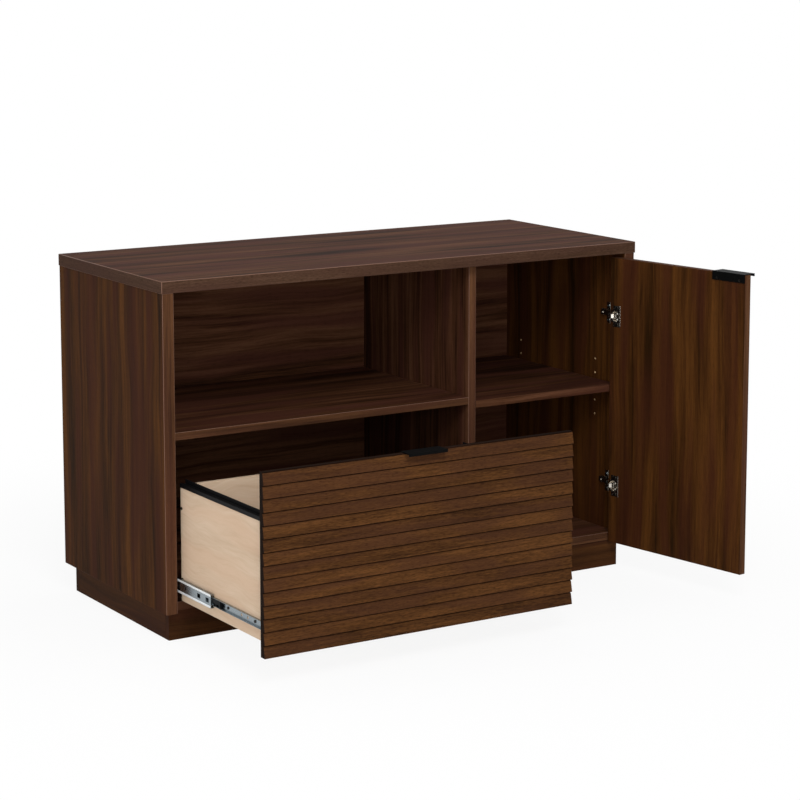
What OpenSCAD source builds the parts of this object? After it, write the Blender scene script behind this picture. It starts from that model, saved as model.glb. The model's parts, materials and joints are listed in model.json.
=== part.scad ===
// Office credenza with an open bay, a file drawer on full-extension slides and a hinged door.
// Millimetres, +Z up, +X to the right and the front facing -Y.
// The origin is on the floor, under the middle of the cabinet body.
// The model stands as photographed: the drawer pulled out to its stop and the door open.

/* [Cabinet] */
// Width of the top
top_w = 1180; // [1120:1:1260]
// Depth of the top
top_d = 496; // [480:1:520]
// Height of the cabinet over the floor
cabinet_h = 746; // [730:1:780]
// Thickness of the top
top_t = 25; // [22:0.5:32]
// Thickness of the two end panels
end_t = 25; // [22:0.5:32]
// How far the top stands over each end panel
top_side_over = 2; // [1:0.5:6]
// How far the top stands over the front edges of the end panels
top_front_over = 2; // [1:0.5:6]
// Thickness of the divider between the bays
divider_t = 18; // [16:0.5:22]
// Thickness of the two shelves
shelf_t = 16; // [15:0.5:20]
// Thickness of the bottom panel
bottom_t = 18; // [16:0.5:22]
// Thickness of the back panel
back_t = 15; // [12:0.5:16]
// Recess behind the back panel
back_recess = 17; // [10:0.5:24]
// Clear width of the bay over the drawer
left_bay_w = 723; // [690:1:740]
// Height of the fixed shelf's upper face
shelf_top_z = 431.5; // [428:0.5:440]
// Height of the adjustable shelf's underside, when it lies on the middle pins
loose_shelf_z = 405.5; // [395:0.5:415]
// Gap round the adjustable shelf
loose_shelf_gap = 1; // [0.5:0.1:2]

/* [Plinth] */
// Height of the plinth
plinth_h = 62; // [55:0.5:80]
// Thickness of the plinth's rails
plinth_t = 16; // [15:0.5:22]
// Distance of the plinth from the side edge of the top
plinth_side_set = 20; // [14:0.5:26]
// Distance of the plinth from the front edge of the top
plinth_front_set = 29; // [26:0.5:45]
// Distance of the plinth from the back edge of the top
plinth_back_set = 16; // [10:0.5:30]

/* [Fronts] */
// Thickness of the door
door_t = 16.5; // [16:0.1:18]
// Gap over the door
door_top_gap = 9; // [6:0.5:14]
// How far the drawer front covers the fixed shelf's edge
shelf_lap = 8.5; // [4:0.5:12]
// How far the fronts hang below the bottom panel
front_drop = 2; // [0:0.5:4]
// Gap between the fronts' backs and the edges behind them
front_gap = 6.6; // [6.6:0.1:9]
// Gap beside the drawer front at the end panel
drawer_side_gap = 3; // [1.5:0.5:5]
// Gap beside the door at its hinges
door_side_gap = 2; // [1.8:0.1:2.4]
// How far the drawer front covers the divider's edge
drawer_lap = 3; // [1:0.5:5]
// How far the door covers the divider's edge
door_lap = 9; // [4:0.5:10]

/* [Slats] */
// Number of slats on the drawer front
slat_count = 14; // [14:1:14]
// Shadow gap between two slats
slat_gap = 2.5; // [1:0.25:3]
// Thickness of a slat at its lower edge
slat_thick = 6; // [5:0.25:7]
// Thickness of a slat at its upper edge
slat_thin = 1.5; // [1:0.25:3]
// Thickness of the board that carries the slats
board_t = 10.5; // [9:0.5:12]

/* [Drawer box] */
// Thickness of the drawer's sides and back
side_t = 12; // [10:0.5:14]
// Height of the drawer's sides
side_h = 241; // [225:1:255]
// Length of the drawer's sides
side_len = 350; // [340:1:360]
// Height of the sides' lower edge over the bottom panel
side_lift = 7; // [6:0.5:12]
// Thickness of the drawer's bottom
floor_t = 5; // [3:0.5:6]
// Depth of the groove that holds the drawer's bottom
groove_depth = 5; // [3:0.5:7]
// Height of the groove over the side's lower edge
groove_up = 10; // [8:0.5:16]
// Gap between the drawer's bottom and its groove
groove_fit = 0.2; // [0.1:0.05:0.4]

/* [File rails] */
// Wall of the rails
rail_wall = 1.5; // [1.2:0.1:2]
// Height of the ribs that the folders hang on
rib_h = 9; // [7:0.5:12]
// Thickness of the ribs
rib_t = 2; // [1.5:0.1:3]
// Depth of the lips over the drawer's sides
lip_h = 5; // [4:0.5:8]
// Width of the double rail between the two file columns
centre_rail_w = 38.5; // [30:0.5:60]

/* [Drawer slides] */
// Length of the slide members
slide_len = 350; // [340:1:360]
// How far the drawer comes out, from shut to its stop
pull_out_len = 360; // [300:1:364]
// Width of one slide, the gap beside the drawer box
slide_w = 12.7; // [12.5:0.1:13]
// Height of the slides' centre line over the bottom panel
slide_up = 40.5; // [36:0.5:60]
// Height of the outer member
outer_h = 35; // [34:0.5:37]
// Height of the middle member
middle_h = 28; // [27.4:0.2:28.4]
// Height of the inner member
inner_h = 17; // [16.6:0.2:17.4]
// Sheet thickness of the outer member
outer_sheet = 1.2; // [1:0.1:1.4]
// Sheet thickness of the middle and inner members
slide_sheet = 1; // [0.9:0.1:1.1]
// How far the middle members come out, from shut to their stop
middle_out_len = 162; // [150:1:180]
// Running gap of the ball cages
ball_fit = 0.3; // [0.2:0.05:0.4]

/* [Hinges] */
// Distance of a hinge from the door's end
hinge_from_end = 132; // [90:1:180]
// Diameter of the hinge cup
cup_d = 26; // [26:0.1:27]
// Depth of the hinge cup in the door
cup_depth = 12; // [12:0.1:12.6]
// Wall of the hinge cup
cup_wall = 0.8; // [0.6:0.1:0.8]
// Distance of the cup's centre from the door's edge
cup_edge = 17.5; // [17:0.1:18]
// Height of the cup's flange
flange_h = 48; // [46:0.5:56]
// Width of the cup's flange beside the cup's centre, on each side
flange_half_w = 13.5; // [13.5:0.5:16]
// Thickness of the cup's flange
flange_t = 1.2; // [1:0.1:1.5]
// Diameter of the hinge pins
hinge_pin_d = 3; // [2.6:0.1:3.2]
// Running gap of the hinge pins
hinge_pin_fit = 0.05; // [0.03:0.01:0.1]

/* [Pulls] */
// Width of the folded tab pulls
pull_w = 90; // [70:1:120]
// Sheet thickness of the pulls
pull_t = 2; // [1.5:0.1:2.5]
// How far a pull stands over the face of its front
pull_over = 15; // [12:0.5:20]
// Height of the lip that is turned down in front
pull_lip = 6; // [4:0.5:10]
// Height of the flange behind the front
pull_flange = 17; // [15:0.5:20]
// Distance of the door's pull from the free edge
pull_inset = 2; // [1:0.5:30]

/* [Shelf pins] */
// Diameter of the shelf pins
pin_d = 5; // [4.8:0.1:6]
// Pitch of the pin holes
row_pitch = 32; // [25:1:32]
// Rows of pin holes above and below the shelf's own row
rows_beside = 2; // [1:1:3]
// Distance of the front pin holes from the shelf's front edge
pin_front_set = 83; // [37:1:100]
// Distance of the rear pin holes from the back panel
pin_rear_set = 60; // [37:1:100]
// Depth of the pin holes
pin_hole_depth = 10; // [8:0.5:12]

/* [Hidden] */
$fn = 48;
// A cut runs this far past the face that it opens
through = 1;

walnut = [0.32, 0.21, 0.16];
walnut_dark = [0.22, 0.14, 0.10];
slat_brown = [0.40, 0.26, 0.17];
maple = [0.83, 0.73, 0.61];
zinc = [0.72, 0.74, 0.76];
black = [0.07, 0.07, 0.07];

function slat_name(i) = str("slat_", i < 10 ? "0" : "", i);

// Main planes of the cabinet
left_x = -top_w / 2;
right_x = top_w / 2;
front_y = -top_d / 2;
back_y = top_d / 2;
top_z = cabinet_h - top_t;
end_left_x = left_x + top_side_over;
end_right_x = right_x - top_side_over;
bay_left_x = end_left_x + end_t;
bay_right_x = end_right_x - end_t;
end_front_y = front_y + top_front_over;
inner_front_y = end_front_y + door_t + front_gap;
back_front_y = back_y - back_recess - back_t;
divider_x = bay_left_x + left_bay_w;
divider_right_x = divider_x + divider_t;
bottom_top_z = plinth_h + bottom_t;
shelf_bottom_z = shelf_top_z - shelf_t;
inner_d = back_front_y - inner_front_y;

// The two fronts, shut
fronts_z = plinth_h - front_drop;
drawer_front_x = bay_left_x + drawer_side_gap;
drawer_front_w = left_bay_w - drawer_side_gap + drawer_lap;
door_x = divider_right_x - door_lap;
door_edge_x = bay_right_x - door_side_gap;
door_w = door_edge_x - door_x;
door_in_y = end_front_y + door_t;
door_top_z = top_z - door_top_gap;
drawer_top_z = shelf_bottom_z + shelf_lap;
drawer_front_h = drawer_top_z - fronts_z;
board_back_y = end_front_y + slat_thick + board_t;

// The drawer box, shut
box_left_x = bay_left_x + slide_w;
box_right_x = divider_x - slide_w;
box_z = bottom_top_z + side_lift;
box_top_z = box_z + side_h;
box_back_y = board_back_y + side_len;
box_mid_x = (box_left_x + box_right_x) / 2;
floor_z = box_z + groove_up;
slide_z = bottom_top_z + slide_up;
slide_y = board_back_y + front_gap;

// The hinges: pin A is on the cabinet's arm, pin B on the door's cup.
// The link between them turns by link_turn while the door turns by door_open.
hinge_z = [fronts_z + hinge_from_end, door_top_z - hinge_from_end];
door_open = 99.5;
link_turn = 138;
link_len = 10.2;
link_shut_angle = 119.2;
pin_a_in = 18.6;
pin_a_depth = 8.85;
pin_a = [bay_right_x - pin_a_in, door_in_y - pin_a_depth];
pin_b_shut = pin_a + link_len * [cos(link_shut_angle), sin(link_shut_angle)];
pin_b_open = pin_a + link_len * [cos(link_shut_angle + link_turn), sin(link_shut_angle + link_turn)];
cup_x = door_edge_x - cup_edge;
plate_screw_back = 38.5;
plate_screw_y = door_in_y + plate_screw_back;
plate_screw_dz = 16;
cup_screw_beside = 4;
cup_screw_x = cup_x - cup_screw_beside;
cup_screw_dz = 19;
// Half heights over a hinge's middle: the arm's tongue, the link's two plates, the cup's ears
tongue_half = 4.6;
link_in = 4.8;
link_out = 6.2;
ear_in = 6.45;
ear_out = 8.25;

// Moving pieces are drawn shut and then moved to the photographed pose
module with_drawer() { translate([0, -pull_out_len, 0]) children(); }
module with_slides() { translate([0, -middle_out_len, 0]) children(); }
module with_door() {
    translate([pin_b_open[0], pin_b_open[1], 0]) rotate(door_open)
        translate([-pin_b_shut[0], -pin_b_shut[1], 0]) children();
}
module with_link() {
    translate([pin_a[0], pin_a[1], 0]) rotate(link_turn)
        translate([-pin_a[0], -pin_a[1], 0]) children();
}

// A block between two corners
module block(low, high) { translate(low) cube(high - low); }

// A drilled hole or a round bar from one point along a unit direction
module bar(from, dir, len, d) {
    translate(from)
        rotate(dir[0] != 0 ? [0, 90 * dir[0], 0] : dir[1] != 0 ? [-90 * dir[1], 0, 0]
            : [dir[2] > 0 ? 0 : 180, 0, 0])
            cylinder(d = d, h = len);
}

// Cam fasteners. Each one is [seat in the joint plane, way from the cam to the other panel,
// way out of the cam's face, height of that face over the seat]
cam_d = 15;
cam_deep = 12;
cam_reach = 34;
cam_bolt_d = 6;
cam_bolt_in = 11;
cam_neck_d = 3;
cam_neck_end = 4;
cam_head = 4;
cam_head_t = 3;
cam_slot = [7, 1.6, 3];
cam_fit = 0.1;
cam_set = 60;
function cam_rows() = [inner_front_y + cam_set, back_front_y - cam_set];
cams = [for (y = cam_rows()) each [
    [[bay_left_x, y, plinth_h + bottom_t / 2], [-1, 0, 0], [0, 0, -1], bottom_t / 2],
    [[bay_right_x, y, plinth_h + bottom_t / 2], [1, 0, 0], [0, 0, -1], bottom_t / 2],
    [[bay_left_x, y, shelf_bottom_z + shelf_t / 2], [-1, 0, 0], [0, 0, -1], shelf_t / 2],
    [[divider_x, y, shelf_bottom_z + shelf_t / 2], [1, 0, 0], [0, 0, -1], shelf_t / 2]]];

// The cam's own place: its face is flush with the panel that holds it
function cam_face(c) = c[0] - cam_reach * c[1] + c[3] * c[2];

module cam_cuts() {
    for (c = cams) {
        bar(cam_face(c) + through * c[2], -c[2], cam_deep + through, cam_d);
        bar(c[0] - cam_reach * c[1], c[1], cam_reach + cam_bolt_in, cam_bolt_d);
    }
}
module cam_locks() {
    color(zinc) for (c = cams) difference() {
        bar(cam_face(c), -c[2], cam_deep, cam_d - 2 * cam_fit);
        bar(c[0] - (cam_reach + cam_d) * c[1], c[1], cam_reach + cam_d, cam_bolt_d + 2 * cam_fit);
        translate(cam_face(c)) rotate(c[2][0] != 0 ? [0, 90, 0] : [0, 0, 0])
            cube(cam_slot, center = true);
    }
}
module cam_bolts() {
    color(zinc) for (c = cams) {
        bar(c[0] - (cam_reach - cam_neck_end) * c[1], c[1],
            cam_reach - cam_neck_end + cam_bolt_in - cam_fit, cam_bolt_d - 2 * cam_fit);
        bar(c[0] - (cam_reach + cam_head) * c[1], c[1], cam_head + cam_neck_end, cam_neck_d);
        bar(c[0] - (cam_reach + cam_head) * c[1], c[1], cam_head_t, cam_bolt_d - 2 * cam_fit);
    }
}

// Glued dowels between the top and the upright panels
dowel_d = 8;
dowel_len = 32;
dowel_up = 12;
dowel_count = 4;
dowel_pitch = (inner_d - 2 * cam_set) / (dowel_count - 1);
dowel_ys = [for (k = [0 : dowel_count - 1]) inner_front_y + cam_set + k * dowel_pitch];
dowel_xs = [end_left_x + end_t / 2, divider_x + divider_t / 2, end_right_x - end_t / 2];
module each_dowel(fit) {
    for (x = dowel_xs, y = dowel_ys)
        bar([x, y, top_z - dowel_len + dowel_up - fit], [0, 0, 1], dowel_len + 2 * fit, dowel_d);
}
module dowels() { color(maple) each_dowel(0); }

// Screws: a flat head and a shank, pointing along dir from the face that they hold
screw_d = 4;
screw_head_d = 7;
screw_head_h = 1.4;
screw_slot_l = 4;
screw_slot_w = 0.8;
screw_fit = 0.1;
// One bar of the cross recess in a screw's head
module cross_slot(dir, slot) {
    rotate(dir[0] != 0 ? [0, 90, 0] : dir[1] != 0 ? [90, 0, 0] : [0, 0, 0])
        cube([slot[0], slot[1], screw_head_h], center = true);
}
module screw(at, dir, len, head_d = screw_head_d) {
    difference() {
        union() {
            bar(at - screw_head_h * dir, dir, screw_head_h, head_d);
            bar(at, dir, len, screw_d - 2 * screw_fit);
        }
        for (slot = [[screw_slot_l, screw_slot_w], [screw_slot_w, screw_slot_l]])
            translate(at - screw_head_h * dir) cross_slot(dir, slot);
    }
}
module screw_hole(at, dir, len) { bar(at - through * dir, dir, len + through + screw_fit, screw_d); }
module screw_holes(places) { for (p = places) screw_hole(p[0], p[1], p[2]); }
module screws(places, head_d = screw_head_d) { for (p = places) screw(p[0], p[1], p[2], head_d); }

// Screws of the slides' outer members, the hinge plates and the back panel
slide_screws = [37, 165, 293];
outer_screw_len = 12;
plate_t = 2;
plate_wing = 12;
plate_wing_half = 24;
plate_spine_half = 7.5;
plate_nose = 10;
plate_tail = 24;
plate_screw_len = 12;
arm_bolt_d = 5;
arm_bolt_deep = 1;
arm_bolt_ys = [plate_screw_y - 11, plate_screw_y + 15];
back_screw_len = 30;
back_screw_xs = [bay_left_x + left_bay_w / 3, bay_left_x + left_bay_w * 2 / 3];
back_screw_set = 120;
back_screw_zs = [bottom_top_z + back_screw_set, (bottom_top_z + top_z) / 2, top_z - back_screw_set];
// Places of the cabinet's screws. Each one is [face that the screw holds, its direction, its length]
cabinet_screw_places = concat(
    [for (s = slide_screws)
        [[bay_left_x + outer_sheet, slide_y + s, slide_z], [-1, 0, 0], outer_screw_len]],
    [for (s = slide_screws)
        [[divider_x - outer_sheet, slide_y + s, slide_z], [1, 0, 0], outer_screw_len]],
    [for (z = hinge_z, dz = [-plate_screw_dz, plate_screw_dz])
        [[bay_right_x - plate_t, plate_screw_y, z + dz], [1, 0, 0], plate_screw_len]],
    [for (x = back_screw_xs)
        [[x, back_y - back_recess, shelf_bottom_z + shelf_t / 2], [0, -1, 0], back_screw_len]],
    [for (z = back_screw_zs)
        [[divider_x + divider_t / 2, back_y - back_recess, z], [0, -1, 0], back_screw_len]]);
module cabinet_screw_cuts() { screw_holes(cabinet_screw_places); }
module cabinet_screws() { color(zinc) screws(cabinet_screw_places); }

// Shelf pins and their holes
pin_ys = [inner_front_y + pin_front_set, back_front_y - pin_rear_set];
pin_z = loose_shelf_z - pin_d / 2;
module pin_cuts() {
    for (y = pin_ys, k = [-rows_beside : rows_beside], side = [[divider_right_x, -1], [bay_right_x, 1]])
        bar([side[0] - side[1] * through, y, pin_z + k * row_pitch], [side[1], 0, 0],
            pin_hole_depth + through, pin_d);
}
pin_fit = 0.05;
pin_spare = 1;
pin_out = 7;
// The collar is wider than the pin, and set lower so that the shelf rests on the pin
pin_collar = 1.5;
pin_collar_over = 1.5;
pin_collar_drop = 1;
module shelf_pins() {
    color(zinc) for (y = pin_ys, s = [[divider_right_x, 1], [bay_right_x, -1]]) {
        bar([s[0] - s[1] * (pin_hole_depth - pin_spare), y, pin_z], [s[1], 0, 0],
            pin_hole_depth - pin_spare + pin_out, pin_d - 2 * pin_fit);
        bar([s[0], y, pin_z - pin_collar_drop], [s[1], 0, 0], pin_collar, pin_d + pin_collar_over);
    }
}

// The cabinet's panels
module top_panel() {
    color(walnut) difference() {
        block([left_x, front_y, top_z], [right_x, back_y, cabinet_h]);
        each_dowel(cam_fit);
    }
}
module end_panel(x) {
    difference() {
        block([x, end_front_y, plinth_h], [x + end_t, back_y, top_z]);
        each_dowel(cam_fit);
        cam_cuts();
        cabinet_screw_cuts();
        pin_cuts();
    }
}
module left_end_panel() { color(walnut) end_panel(end_left_x); }
module right_end_panel() { color(walnut) end_panel(bay_right_x); }
module divider_panel() {
    color(walnut) difference() {
        block([divider_x, inner_front_y, bottom_top_z], [divider_right_x, back_front_y, top_z]);
        each_dowel(cam_fit);
        cam_cuts();
        cabinet_screw_cuts();
        pin_cuts();
    }
}
module bottom_panel() {
    color(walnut) difference() {
        block([bay_left_x, inner_front_y, plinth_h], [bay_right_x, back_front_y, bottom_top_z]);
        cam_cuts();
    }
}
module fixed_shelf() {
    color(walnut) difference() {
        block([bay_left_x, inner_front_y, shelf_bottom_z], [divider_x, back_front_y, shelf_top_z]);
        cam_cuts();
        cabinet_screw_cuts();
    }
}
module adjustable_shelf() {
    color(walnut)
        block([divider_right_x + loose_shelf_gap, inner_front_y, loose_shelf_z],
            [bay_right_x - loose_shelf_gap, back_front_y - loose_shelf_gap, loose_shelf_z + shelf_t]);
}
module back_panel() {
    color(walnut_dark) difference() {
        block([bay_left_x, back_front_y, plinth_h], [bay_right_x, back_front_y + back_t, top_z]);
        cabinet_screw_cuts();
    }
}

// The plinth: two long rails with three cross rails between them
plinth_left_x = left_x + plinth_side_set;
plinth_right_x = right_x - plinth_side_set;
plinth_front_y = front_y + plinth_front_set;
plinth_back_y = back_y - plinth_back_set;
module long_rail(y) { block([plinth_left_x, y, 0], [plinth_right_x, y + plinth_t, plinth_h]); }
module cross_rail(x) {
    block([x, plinth_front_y + plinth_t, 0], [x + plinth_t, plinth_back_y - plinth_t, plinth_h]);
}
module plinth_front() { color(walnut_dark) long_rail(plinth_front_y); }
module plinth_back() { color(walnut_dark) long_rail(plinth_back_y - plinth_t); }
module plinth_left() { color(walnut_dark) cross_rail(plinth_left_x); }
module plinth_right() { color(walnut_dark) cross_rail(plinth_right_x - plinth_t); }
module plinth_centre() { color(walnut_dark) cross_rail(-plinth_t / 2); }

// Drawer slides. In the profiles, X is the distance from the cabinet's wall and Y the height
middle_x = 3.4;
middle_out = 10.6;
inner_x = 6.6;
outer_out = 9.6;
// A channel from x0 to x1 with its open side at x1, and with lips there when lip is more than the sheet
module channel(x0, x1, h, sheet, lip) {
    over = sheet / 2;
    difference() {
        translate([x0, -h / 2]) square([x1 - x0, h]);
        translate([x0 + sheet, -h / 2 + sheet]) square([x1 - x0 - 2 * sheet, h - 2 * sheet]);
        translate([x1 - sheet - over, -h / 2 + lip]) square([sheet + 2 * over, h - 2 * lip]);
    }
}
outer_lip = 3;
middle_lip = 2.8;
module outer_profile() { channel(0, outer_out, outer_h, outer_sheet, outer_lip); }
module middle_profile() { channel(middle_x, middle_out, middle_h, slide_sheet, middle_lip); }
module inner_profile() {
    translate([inner_x + slide_w, 0]) mirror([1, 0])
        channel(inner_x, slide_w, inner_h, slide_sheet, slide_sheet);
}
// One member of the left slide; the right one is its mirror image
module member_left(len) {
    translate([bay_left_x, slide_y + len, slide_z]) rotate([90, 0, 0]) linear_extrude(len) children();
}
module to_right() { translate([bay_left_x + divider_x, 0, 0]) mirror([1, 0, 0]) children(); }
member_holes = [110, 150, 200, 250, 300];
inner_holes = [60, 85, 190];
member_hole_d = 6;
// Slots at the front end of the middle member: their starts, their length and their height
member_slots = [9, 45];
member_slot_l = 13;
member_slot_h = 9;
module outer_left() {
    difference() {
        member_left(slide_len) outer_profile();
        for (s = slide_screws)
            bar([bay_left_x - through, slide_y + s, slide_z], [1, 0, 0],
                outer_sheet + 2 * through, screw_d);
    }
}
module middle_left() {
    difference() {
        member_left(slide_len) middle_profile();
        for (s = member_holes)
            bar([bay_left_x, slide_y + s, slide_z], [1, 0, 0], slide_w, member_hole_d);
        for (s = member_slots)
            translate([bay_left_x, slide_y + s, slide_z - member_slot_h / 2])
                cube([slide_w, member_slot_l, member_slot_h]);
    }
}
inner_screws = [30, 140, 250];
inner_len = side_len - front_gap;
module inner_left() {
    difference() {
        member_left(inner_len) inner_profile();
        for (s = inner_screws)
            bar([box_left_x + through, slide_y + s, slide_z], [-1, 0, 0],
                slide_sheet + 2 * through, screw_d);
        for (s = inner_holes)
            bar([box_left_x + through, slide_y + s, slide_z], [-1, 0, 0],
                slide_sheet + 2 * through, member_hole_d);
    }
}
module slide_outer_left() { color(zinc) outer_left(); }
module slide_outer_right() { color(zinc) to_right() outer_left(); }
module slide_middle_left() { color(zinc) with_slides() middle_left(); }
module slide_middle_right() { color(zinc) with_slides() to_right() middle_left(); }
module slide_inner_left() { color(zinc) with_drawer() inner_left(); }
module slide_inner_right() { color(zinc) with_drawer() to_right() inner_left(); }

// Ball cages: at the rear outside the middle member, and at its front inside it
cage_len = 70;
cage_balls = 6;
cage_t = 0.8;
cage_w = 4;
ball_facets = 14;
outer_cage_x = bay_left_x + (middle_x + outer_out - outer_sheet) / 2;
inner_cage_x = bay_left_x + (inner_x + middle_out) / 2 - outer_sheet;
outer_cage_end = 10;
inner_cage_end = 30;
module cage(x, z, gap, y) {
    translate([x - cage_w / 2, y, z - cage_t / 2]) cube([cage_w, cage_len, cage_t]);
    for (k = [0 : cage_balls - 1])
        translate([x, y + cage_len * (k + 0.5) / cage_balls, z])
            sphere(d = gap - 2 * ball_fit, $fn = ball_facets);
}
module cages_left() {
    outer_race = outer_h / 2 - outer_sheet;
    inner_race = middle_h / 2 - slide_sheet;
    for (s = [-1, 1]) {
        cage(outer_cage_x, slide_z + s * (outer_race + middle_h / 2) / 2, outer_race - middle_h / 2,
            slide_y + slide_len - cage_len - outer_cage_end);
        cage(inner_cage_x, slide_z + s * (inner_race + inner_h / 2) / 2, inner_race - inner_h / 2,
            slide_y + inner_cage_end);
    }
}
module slide_ball_cages() {
    color(zinc) with_slides() { cages_left(); to_right() cages_left(); }
}
// The black release lever in each inner member. In the pose it stands just ahead of the middle member
lever_len = 35;
lever_foot = 5;
lever_heel = 14;
lever_step = 3;
// Gaps of the lever to the middle member and inside the inner member
lever_gap = 1;
lever_fit = 0.2;
lever_x = bay_left_x + middle_x + slide_sheet + lever_gap;
module lever_left() {
    y = slide_y + pull_out_len - middle_out_len;
    inside = inner_h / 2 - slide_sheet - lever_fit;
    block([lever_x, y - lever_len, slide_z - lever_gap],
        [box_left_x - slide_sheet, y - lever_gap, slide_z + inside]);
    block([lever_x, y - lever_len, slide_z - inside],
        [box_left_x - slide_sheet, y - lever_len + lever_foot, slide_z + inside]);
    block([lever_x + lever_step, y - lever_heel, slide_z - inside],
        [box_left_x - slide_sheet, y - lever_gap, slide_z + inside]);
}
module slide_levers() { color(black) with_drawer() { lever_left(); to_right() lever_left(); } }

// Drawer front: a board with sawtooth slats on it
slat_pitch = drawer_front_h / slat_count;
slat_chamfer = 0.8;
module drawer_front_board() {
    color(slat_brown) with_drawer() difference() {
        block([drawer_front_x, end_front_y + slat_thick, fronts_z],
            [drawer_front_x + drawer_front_w, board_back_y, drawer_top_z]);
        drawer_screw_cuts();
    }
}
module slat(i) {
    z = drawer_top_z - i * slat_pitch;
    y = end_front_y + slat_thick;
    color(slat_brown) with_drawer() translate([drawer_front_x, y, z]) rotate([90, 0, 90])
        linear_extrude(drawer_front_w)
            polygon([[0, 0], [-slat_thick + slat_chamfer, 0], [-slat_thick, slat_chamfer],
                [-slat_thin, slat_pitch - slat_gap], [0, slat_pitch - slat_gap]]);
}

// Drawer box
back_y0 = box_back_y - side_t;
module floor_space(fit) {
    block([box_left_x + side_t - groove_depth - fit, board_back_y, floor_z - fit],
        [box_right_x - side_t + groove_depth + fit, box_back_y + (fit > 0 ? through : 0),
            floor_z + floor_t + fit]);
}
module box_side(x) {
    difference() {
        block([x, board_back_y, box_z], [x + side_t, box_back_y, box_top_z]);
        floor_space(groove_fit);
        drawer_screw_cuts();
    }
}
module drawer_side_left() { color(maple) with_drawer() box_side(box_left_x); }
module drawer_side_right() { color(maple) with_drawer() box_side(box_right_x - side_t); }
module drawer_back() {
    color(maple) with_drawer() difference() {
        block([box_left_x + side_t, back_y0, floor_z + floor_t + groove_fit],
            [box_right_x - side_t, box_back_y, box_top_z]);
        drawer_screw_cuts();
    }
}
module drawer_bottom() { color(maple) with_drawer() floor_space(0); }

// File rails: a cap on each side and a double rail between them
centre_skirt = 8;
// A low lip along the rail's outer edge and a bead beside it
edge_lip_w = 2.5;
edge_lip_h = 2;
bead_x = 4;
bead_w = 1.2;
module cap_profile() {
    difference() {
        translate([-rail_wall, -lip_h]) square([side_t + 2 * rail_wall, lip_h + rail_wall]);
        translate([0, -lip_h - through]) square([side_t, lip_h + through]);
    }
    translate([side_t + rail_wall - rib_t, 0]) square([rib_t, rail_wall + rib_h - rib_t / 2]);
    translate([side_t + rail_wall - rib_t / 2, rail_wall + rib_h - rib_t / 2]) circle(d = rib_t);
    translate([-rail_wall, 0]) square([edge_lip_w, rail_wall + edge_lip_h]);
    translate([bead_x, 0]) square([bead_w, rail_wall + bead_w]);
}
centre_rib = (centre_rail_w - rib_t) / 2;
module centre_profile() {
    hw = centre_rail_w / 2;
    translate([-hw, 0]) square([2 * hw, rail_wall]);
    for (s = [0, 1]) mirror([s, 0]) {
        translate([hw - rib_t, -centre_skirt])
            square([rib_t, centre_skirt + rail_wall + rib_h - rib_t / 2]);
        translate([hw - rib_t / 2, rail_wall + rib_h - rib_t / 2]) circle(d = rib_t);
    }
}
module rail_run(x, y0, y1) {
    translate([x, y1, box_top_z]) rotate([90, 0, 0]) linear_extrude(y1 - y0) children();
}
// The inner lip of a side's rail stops at the drawer's back
module side_rail() {
    difference() {
        rail_run(box_left_x, board_back_y, box_back_y) cap_profile();
        block([box_left_x + side_t, back_y0 - rail_wall, box_top_z - lip_h - through],
            [box_left_x + side_t + rail_wall + through, box_back_y + through, box_top_z]);
    }
}
module file_rail_left() { color(black) with_drawer() side_rail(); }
module file_rail_right() {
    color(black) with_drawer() translate([2 * box_mid_x, 0, 0]) mirror([1, 0, 0]) side_rail();
}
rail_tab_h = 24;
module file_rail_centre() {
    color(black) with_drawer() {
        rail_run(box_mid_x, board_back_y, back_y0) centre_profile();
        block([box_mid_x - centre_rib, back_y0, box_top_z],
            [box_mid_x + centre_rib, box_back_y, box_top_z + rail_wall]);
        difference() {
            block([box_mid_x - centre_rib, board_back_y, box_top_z - rail_tab_h],
                [box_mid_x + centre_rib, board_back_y + 2 * rail_wall, box_top_z]);
            drawer_screw_cuts();
        }
    }
}

// Folded tab pull over the upper edge of a front. X runs along the edge, -Y out of the face
module pull(front_t) {
    difference() {
        union() {
            block([0, -pull_over, 0], [pull_w, front_t + pull_t, pull_t]);
            block([0, -pull_over, pull_t - pull_lip], [pull_w, -pull_over + pull_t, pull_t]);
            block([0, front_t, -pull_flange], [pull_w, front_t + pull_t, pull_t]);
        }
        for (x = pull_screw_xs)
            bar([x, front_t + pull_t + through, -pull_screw_down], [0, -1, 0],
                pull_t + 2 * through, screw_d);
    }
}
pull_screw_in = 14;
pull_screw_down = 12;
drawer_pull_x = drawer_front_x + (drawer_front_w - pull_w) / 2;
door_pull_x = door_x + pull_inset;
module drawer_pull() {
    color(black) with_drawer() translate([drawer_pull_x, end_front_y, drawer_top_z])
        pull(slat_thick + board_t);
}
module door_pull() {
    color(black) with_door() translate([door_pull_x, end_front_y, door_top_z]) pull(door_t);
}

// Screws of the drawer
short_screw = 9;
small_head_d = 6;
corner_screw_gap = 0.8;
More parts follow.
